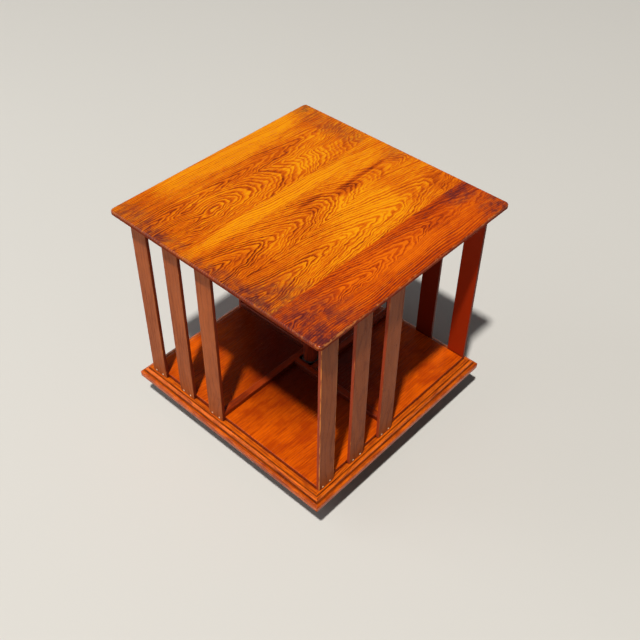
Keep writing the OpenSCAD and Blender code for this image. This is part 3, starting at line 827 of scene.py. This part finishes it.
class BOOKCASE_OT_metalwork(bpy.types.Operator):
    """Finishes the collar, plates, washer, screws, bolt and pivot pin"""
    bl_idname = "bookcase.metalwork"
    bl_label = "Metalwork"

    def execute(self, context):
        metal = context.scene.bookcase_metal
        dress(aged_metal("dull_steel", metal.steel, metal.steel_dull, rough=0.42, spots=0.5),
              "pivot_plate", "bearing_plate", "pivot_pin")
        dress(aged_metal("screw_steel", metal.screw, metal.screw_dull, rough=0.4, spots=0.8,
                         turned=False),
              "top_rail_screws", "pivot_plate_screws", "hub_board_screws",
              "bearing_plate_screws", "post_flange_screws", "post_bolt")
        dress(aged_metal("washer_brass", metal.brass, metal.brass_dull, rough=0.3, spots=0.6),
              "thrust_washer")
        dress(aged_metal("flange_iron", metal.iron, metal.iron_dull, rough=0.55, spots=0.9),
              "post_flange")
        dress(aged_metal("collar_steel", metal.collar, metal.collar_dull, rough=0.5, spots=0.9),
              "post_collar")
        return {"FINISHED"}


# ---------- pins ----------

PIN_OFFSET = 7 * MM  # each of a slat's two pins stands this far from the slat's middle
PIN_SINK = 0.12 * MM  # the most that a pin's head sinks into the wood
PIN_LEAN = 4  # in degrees, the most that a pin leans
SHANK = ((0.75 * MM, 0), (0.7 * MM, -7.6 * MM), (0, -8.8 * MM))  # radius and height
DOME_STEPS = 5
TURN_STEPS = 16


def vertices_of(geometry):
    return [part for part in geometry if isinstance(part, bmesh.types.BMVert)]


def turned_pin(bm, radius, dome):
    """A pin whose domed head rises along +Z from the origin, and whose shank goes down."""
    angles = [math.pi / 2 * k / DOME_STEPS for k in range(1, DOME_STEPS + 1)]
    head = [(radius * math.sin(a), dome * math.cos(a)) for a in angles]
    line = [bm.verts.new((r, 0, z)) for r, z in ((0, dome), *head, *SHANK)]
    edges = [bm.edges.new(pair) for pair in zip(line, line[1:])]
    bmesh.ops.spin(bm, geom=line + edges, axis=(0, 0, 1), cent=(0, 0, 0), angle=math.tau,
                   steps=TURN_STEPS, use_merge=True)
    bmesh.ops.remove_doubles(bm, verts=bm.verts[:], dist=0.001 * MM)
    bmesh.ops.recalc_face_normals(bm, faces=bm.faces[:])
    for face in bm.faces:
        face.smooth = True


def pin_places(height, chance):
    """Where each slat's two pins go at this height, slightly uneven, as they were driven in."""
    for quarter, side in enumerate(SIDES):
        turn = Matrix.Rotation(math.pi / 2 * quarter, 4, "Z")
        for place in PLACES:
            low, high = (Vector(c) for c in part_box(f"slat_{side}_{place}"))
            middle = (turn.inverted() @ ((low + high) / 2)).x
            for step in (-PIN_OFFSET, PIN_OFFSET):
                deep = -SLAT_FACE * MM + chance.uniform(0, PIN_SINK)
                tilt = math.radians(90 + chance.uniform(-PIN_LEAN, PIN_LEAN))
                spot = Matrix.Translation((middle + step, deep, height))
                yield turn @ spot @ Matrix.Rotation(tilt, 4, "X")


class BOOKCASE_OT_pins(bpy.types.Operator):
    """Makes the small domed brass pins that hold the slats"""
    bl_idname = "bookcase.pins"
    bl_label = "Slat pins"

    def execute(self, context):
        sizes = context.scene.bookcase_sizes
        metal = context.scene.bookcase_metal
        brass = aged_metal("pin_brass", metal.pin, metal.pin_dull, rough=0.5, spots=0.2,
                           turned=False)
        for node in ("slat_foot_pins", "slat_head_pins"):
            low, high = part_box(node)
            pins = bmesh.new()
            turned_pin(pins, sizes.pin_radius, sizes.pin_dome)
            pattern = pins.verts[:] + pins.edges[:] + pins.faces[:]
            for place in pin_places((low.z + high.z) / 2, random.Random(node)):
                copy = bmesh.ops.duplicate(pins, geom=pattern)["geom"]
                bmesh.ops.transform(pins, matrix=place, verts=vertices_of(copy))
            bmesh.ops.delete(pins, geom=vertices_of(pattern), context="VERTS")
            mesh = bpy.data.meshes.new(f"{node}_domed")
            pins.to_mesh(mesh)
            pins.free()
            mesh.materials.append(brass)
            piece = add_object(context, f"{node}_domed", mesh)
            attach(piece, "case")
            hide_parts(node)
        return {"FINISHED"}


# ---------- the studio, in metres ----------

GROUND_HALF = 12
AIM = Vector((0, 0, 0.15))  # the middle of the bookcase
KEY_FROM = Vector((0.57, -1.09, 2.77)).normalized() * 12
SIDE_FROM = Vector((-1.6, -1.5, 1.3))
KEY_SIZE, SIDE_SIZE = 0.6, 1.8
KEY_TINT, SIDE_TINT, ROOM_TINT = (1.0, 0.97, 0.92), (0.94, 0.97, 1.0), (0.97, 0.98, 1.0, 1)
WALL_FROM, WALL_TO = 0.04, 0.20  # the wall's light fades between these heights over the horizon
CAMERA_PLACE = (0.62401, -0.67575, 1.02225)
CAMERA_RIGHT = Vector((0.7366982, 0.67611607, 0.01195071))
CAMERA_BACK = Vector((0.48525958, -0.54088345, 0.68699944))


def lay_ground(context, stage):
    """A wide sheet of plain pale paper."""
    mesh = bpy.data.meshes.new("ground")
    bm = bmesh.new()
    bmesh.ops.create_grid(bm, x_segments=1, y_segments=1, size=GROUND_HALF)
    bm.to_mesh(mesh)
    bm.free()
    ground = add_object(context, "ground", mesh)
    f = Finish("ground_paper")
    x, y, _ = f.axes()
    paper = f.mix(f.noise(x / 900, y / 900, 0.0), dimmed(stage.ground, 0.97), stage.ground)
    mesh.materials.append(f.shade(paper, 0.9))


def hang_lights(context, stage):
    """One main light high at the front, and a weak one low at the left."""
    lights = (("key", KEY_FROM, KEY_SIZE, stage.key_power, KEY_TINT),
              ("side", SIDE_FROM, SIDE_SIZE, stage.side_power, SIDE_TINT))
    for name, offset, size, watts, tint in lights:
        data = bpy.data.lights.new(name, "AREA")
        data.shape = "DISK"
        data.size = size
        data.energy = watts
        data.color = tint
        lamp = add_object(context, name, data)
        lamp.location = AIM + offset
        lamp.rotation_euler = (-offset).to_track_quat("-Z", "Y").to_euler()


def light_room(context, stage):
    """Pale at eye level, so that the ground meets a pale wall, and dim overhead."""
    world = bpy.data.worlds.new("studio")
    world.use_nodes = True
    tree = world.node_tree
    room = tree.nodes["Background"]
    room.inputs["Color"].default_value = ROOM_TINT
    place = tree.nodes.new("ShaderNodeTexCoord")
    split = tree.nodes.new("ShaderNodeSeparateXYZ")
    level = tree.nodes.new("ShaderNodeMapRange")
    level.interpolation_type = "SMOOTHSTEP"
    tree.links.new(place.outputs["Generated"], split.inputs[0])
    tree.links.new(split.outputs["Z"], level.inputs["Value"])
    level.inputs["From Min"].default_value = WALL_FROM
    level.inputs["From Max"].default_value = WALL_TO
    level.inputs["To Min"].default_value = stage.wall
    level.inputs["To Max"].default_value = stage.fill
    tree.links.new(level.outputs["Result"], room.inputs["Strength"])
    context.scene.world = world
    context.scene.view_settings.view_transform = "Standard"


def place_camera(context, stage):
    """Looks down on the right front corner."""
    data = bpy.data.cameras.new("camera")
    data.sensor_width = 36
    data.lens = stage.lens
    data.clip_start = 0.05
    data.clip_end = 50
    camera = add_object(context, "camera", data)
    axes = CAMERA_RIGHT, CAMERA_BACK.cross(CAMERA_RIGHT), CAMERA_BACK
    camera.matrix_world = Matrix.Translation(CAMERA_PLACE) @ Matrix(axes).transposed().to_4x4()
    context.scene.camera = camera


class BOOKCASE_OT_stage(bpy.types.Operator):
    """Sets up the ground, the soft lights and the camera"""
    bl_idname = "bookcase.stage"
    bl_label = "Stage"

    def execute(self, context):
        stage = context.scene.bookcase_stage
        lay_ground(context, stage)
        hang_lights(context, stage)
        light_room(context, stage)
        place_camera(context, stage)
        return {"FINISHED"}


# ---------- the add-on ----------

GROUPS = {
    "bookcase_oak": BookcaseOak, "bookcase_metal": BookcaseMetal,
    "bookcase_sizes": BookcaseSizes, "bookcase_stage": BookcaseStage,
}
OPERATORS = (
    BOOKCASE_OT_top, BOOKCASE_OT_slats, BOOKCASE_OT_floor, BOOKCASE_OT_moulding,
    BOOKCASE_OT_hidden_wood, BOOKCASE_OT_post, BOOKCASE_OT_metalwork, BOOKCASE_OT_pins,
    BOOKCASE_OT_stage,
)


class BOOKCASE_PT_panel(bpy.types.Panel):
    """Lists the pieces of the bookcase"""
    bl_idname = "BOOKCASE_PT_panel"
    bl_label = "Revolving bookcase"
    bl_space_type = "VIEW_3D"
    bl_region_type = "UI"
    bl_category = "Bookcase"

    def draw(self, context):
        for group in GROUPS:
            settings = getattr(context.scene, group)
            box = self.layout.box()
            for name in settings.__annotations__:
                box.prop(settings, name)
        for operator in OPERATORS:
            self.layout.operator(operator.bl_idname)


def register():
    for cls in (*GROUPS.values(), *OPERATORS, BOOKCASE_PT_panel):
        bpy.utils.register_class(cls)
    for name, cls in GROUPS.items():
        setattr(bpy.types.Scene, name, PointerProperty(type=cls))


def unregister():
    for name in GROUPS:
        delattr(bpy.types.Scene, name)
    for cls in reversed((*GROUPS.values(), *OPERATORS, BOOKCASE_PT_panel)):
        bpy.utils.unregister_class(cls)


def main():
    register()
    bpy.ops.bookcase.top()
    bpy.ops.bookcase.slats()
    bpy.ops.bookcase.floor()
    bpy.ops.bookcase.moulding()
    bpy.ops.bookcase.hidden_wood()
    bpy.ops.bookcase.post()
    bpy.ops.bookcase.metalwork()
    bpy.ops.bookcase.pins()
    bpy.ops.bookcase.stage()


if __name__ == "__main__":
    main()
